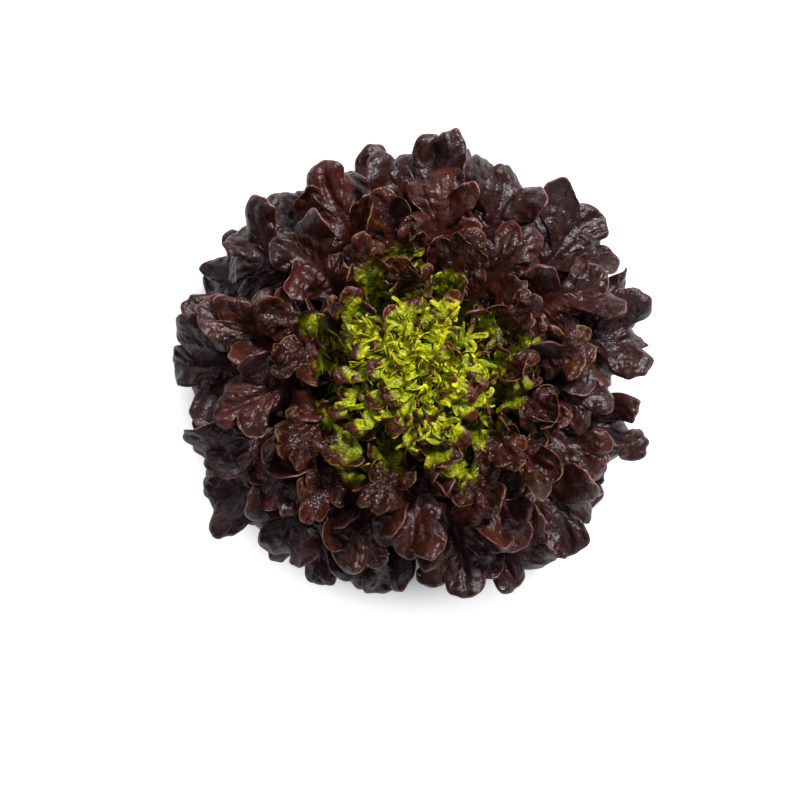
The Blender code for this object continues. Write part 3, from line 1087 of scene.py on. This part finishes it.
def stem_material():
    """Pale, fibrous stem flesh, browned at the cut."""
    graph = Graph("stem_flesh_fibres")
    fibre = graph.noise(260.0, 4.0)
    colour = graph.mix(graph.ramp(fibre, 0.3, 0.7), (0.62, 0.60, 0.36, 1), (0.42, 0.44, 0.18, 1))
    brown = graph.times(graph.ramp(graph.fact("cut"), 0.3, 0.9), 0.7)
    graph.set_shader(
        Base_Color=graph.mix(brown, colour, (0.30, 0.14, 0.05, 1)),
        Roughness=graph.math("MULTIPLY_ADD", fibre, 0.2, 0.35),
    )
    graph.bump(fibre, 0.4, 0.0008)
    return graph.material


# ---------------------------------------------------------------- build
materials = {kind: leaf_material(kind + "_wax", **wax) for kind, wax in WAX.items()}

number = 0
for whorl, count in WHORLS.items():
    for place in range(count):
        node = f"{whorl}_{place + 1:02d}"
        leaf = make_leaf(node + "_blade", number, materials[whorl])
        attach(leaf, "root")
        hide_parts(node)
        number += 1

bud = make_bud(materials["heart_bud"])
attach(bud, "root")
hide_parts("heart_bud")
stem = make_stem(stem_material())
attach(stem, "root")
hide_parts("stem")

# ---------------------------------------------------------------- stage, light and camera
FLOOR_SIZE = 4
FLOOR_DROP = 0.0002
# The paper glows so that it stays white, but not under the head. The leaves see less of the glow than the
# camera does, so their shadows stay deep and red. The room is dark round the lamps and white past the floor.
GLOW_FROM, GLOW_TO, PAPER_GLOW = 0.11, 0.145, 0.86
GLOW_ON_LEAVES = 0.45
AROUND, BEHIND = 0.03, 0.95
LAMP_COLOUR = (0.97, 0.95, 1.0)
AIM = (0, 0, 0.05)


def paper_material():
    """White paper for the floor, which glows away from the middle."""
    graph = Graph("white_paper")
    radius = graph.add("ShaderNodeVectorMath", operation="LENGTH")
    graph.put(radius.inputs[0], graph.where())
    spread = graph.ramp(radius.outputs["Value"], GLOW_FROM, GLOW_TO, 0.0, PAPER_GLOW)
    seen = graph.add("ShaderNodeLightPath").outputs["Is Camera Ray"]
    graph.set_shader(
        Base_Color=(0.80, 0.80, 0.80, 1),
        Roughness=0.95,
        Specular_IOR_Level=0.1,
        Emission_Color=(1, 1, 1, 1),
        Emission_Strength=graph.times(spread, graph.ramp(seen, 0.0, 1.0, GLOW_ON_LEAVES, 1.0)),
    )
    return graph.material


corners = [(x * FLOOR_SIZE, y * FLOOR_SIZE, -FLOOR_DROP) for x, y in ((-1, -1), (1, -1), (1, 1), (-1, 1))]
floor_mesh = bpy.data.meshes.new("floor")
floor_mesh.from_pydata(corners, [], [(0, 1, 2, 3)])
floor_mesh.materials.append(paper_material())
floor = bpy.data.objects.new("floor", floor_mesh)
bpy.context.scene.collection.objects.link(floor)

world = bpy.data.worlds.new("studio")
bpy.context.scene.world = world
world.use_nodes = True
nodes, links = world.node_tree.nodes, world.node_tree.links
seen = nodes.new("ShaderNodeMapRange")
seen.inputs["To Min"].default_value = AROUND
seen.inputs["To Max"].default_value = BEHIND
links.new(nodes.new("ShaderNodeLightPath").outputs["Is Camera Ray"], seen.inputs["Value"])
links.new(seen.outputs[0], nodes["Background"].inputs["Strength"])
nodes["Background"].inputs["Color"].default_value = (1.0, 1.0, 1.0, 1)


def area_light(name, position, size, power):
    """A square lamp, aimed at the middle of the head."""
    light = bpy.data.lights.new(name, "AREA")
    light.shape = "SQUARE"
    light.size = size
    light.energy = power
    light.color = LAMP_COLOUR
    made = bpy.data.objects.new(name, light)
    made.location = position
    offset = mathutils.Vector([aim - own for aim, own in zip(AIM, position)])
    made.rotation_euler = offset.to_track_quat("-Z", "Y").to_euler()
    bpy.context.scene.collection.objects.link(made)


area_light("key", (0.70, 0.90, 1.35), size=0.42, power=43)
area_light("softbox", (-0.75, 0.55, 1.15), size=0.95, power=5)
area_light("front", (0.3, -1.1, 0.9), size=0.60, power=4)

# The camera looks straight down, and the head lies a little up and to the right of the picture's middle.
CAMERA_HEIGHT = 2.2
SENSOR = 36
PICTURE_WIDTH = 0.4592
OFF_CENTRE = (-0.006888, -0.016359)
low, high = cad_bounds
centre = [(a + b) / 2 for a, b in zip(low, high)]
camera = bpy.data.cameras.new("camera")
camera.sensor_width = SENSOR
camera.lens = SENSOR * (CAMERA_HEIGHT - AIM[2]) / PICTURE_WIDTH
camera_object = bpy.data.objects.new("camera", camera)
camera_object.location = (centre[0] + OFF_CENTRE[0], centre[1] + OFF_CENTRE[1], CAMERA_HEIGHT)
bpy.context.scene.collection.objects.link(camera_object)
bpy.context.scene.camera = camera_object
bpy.context.scene.view_settings.view_transform = "Standard"
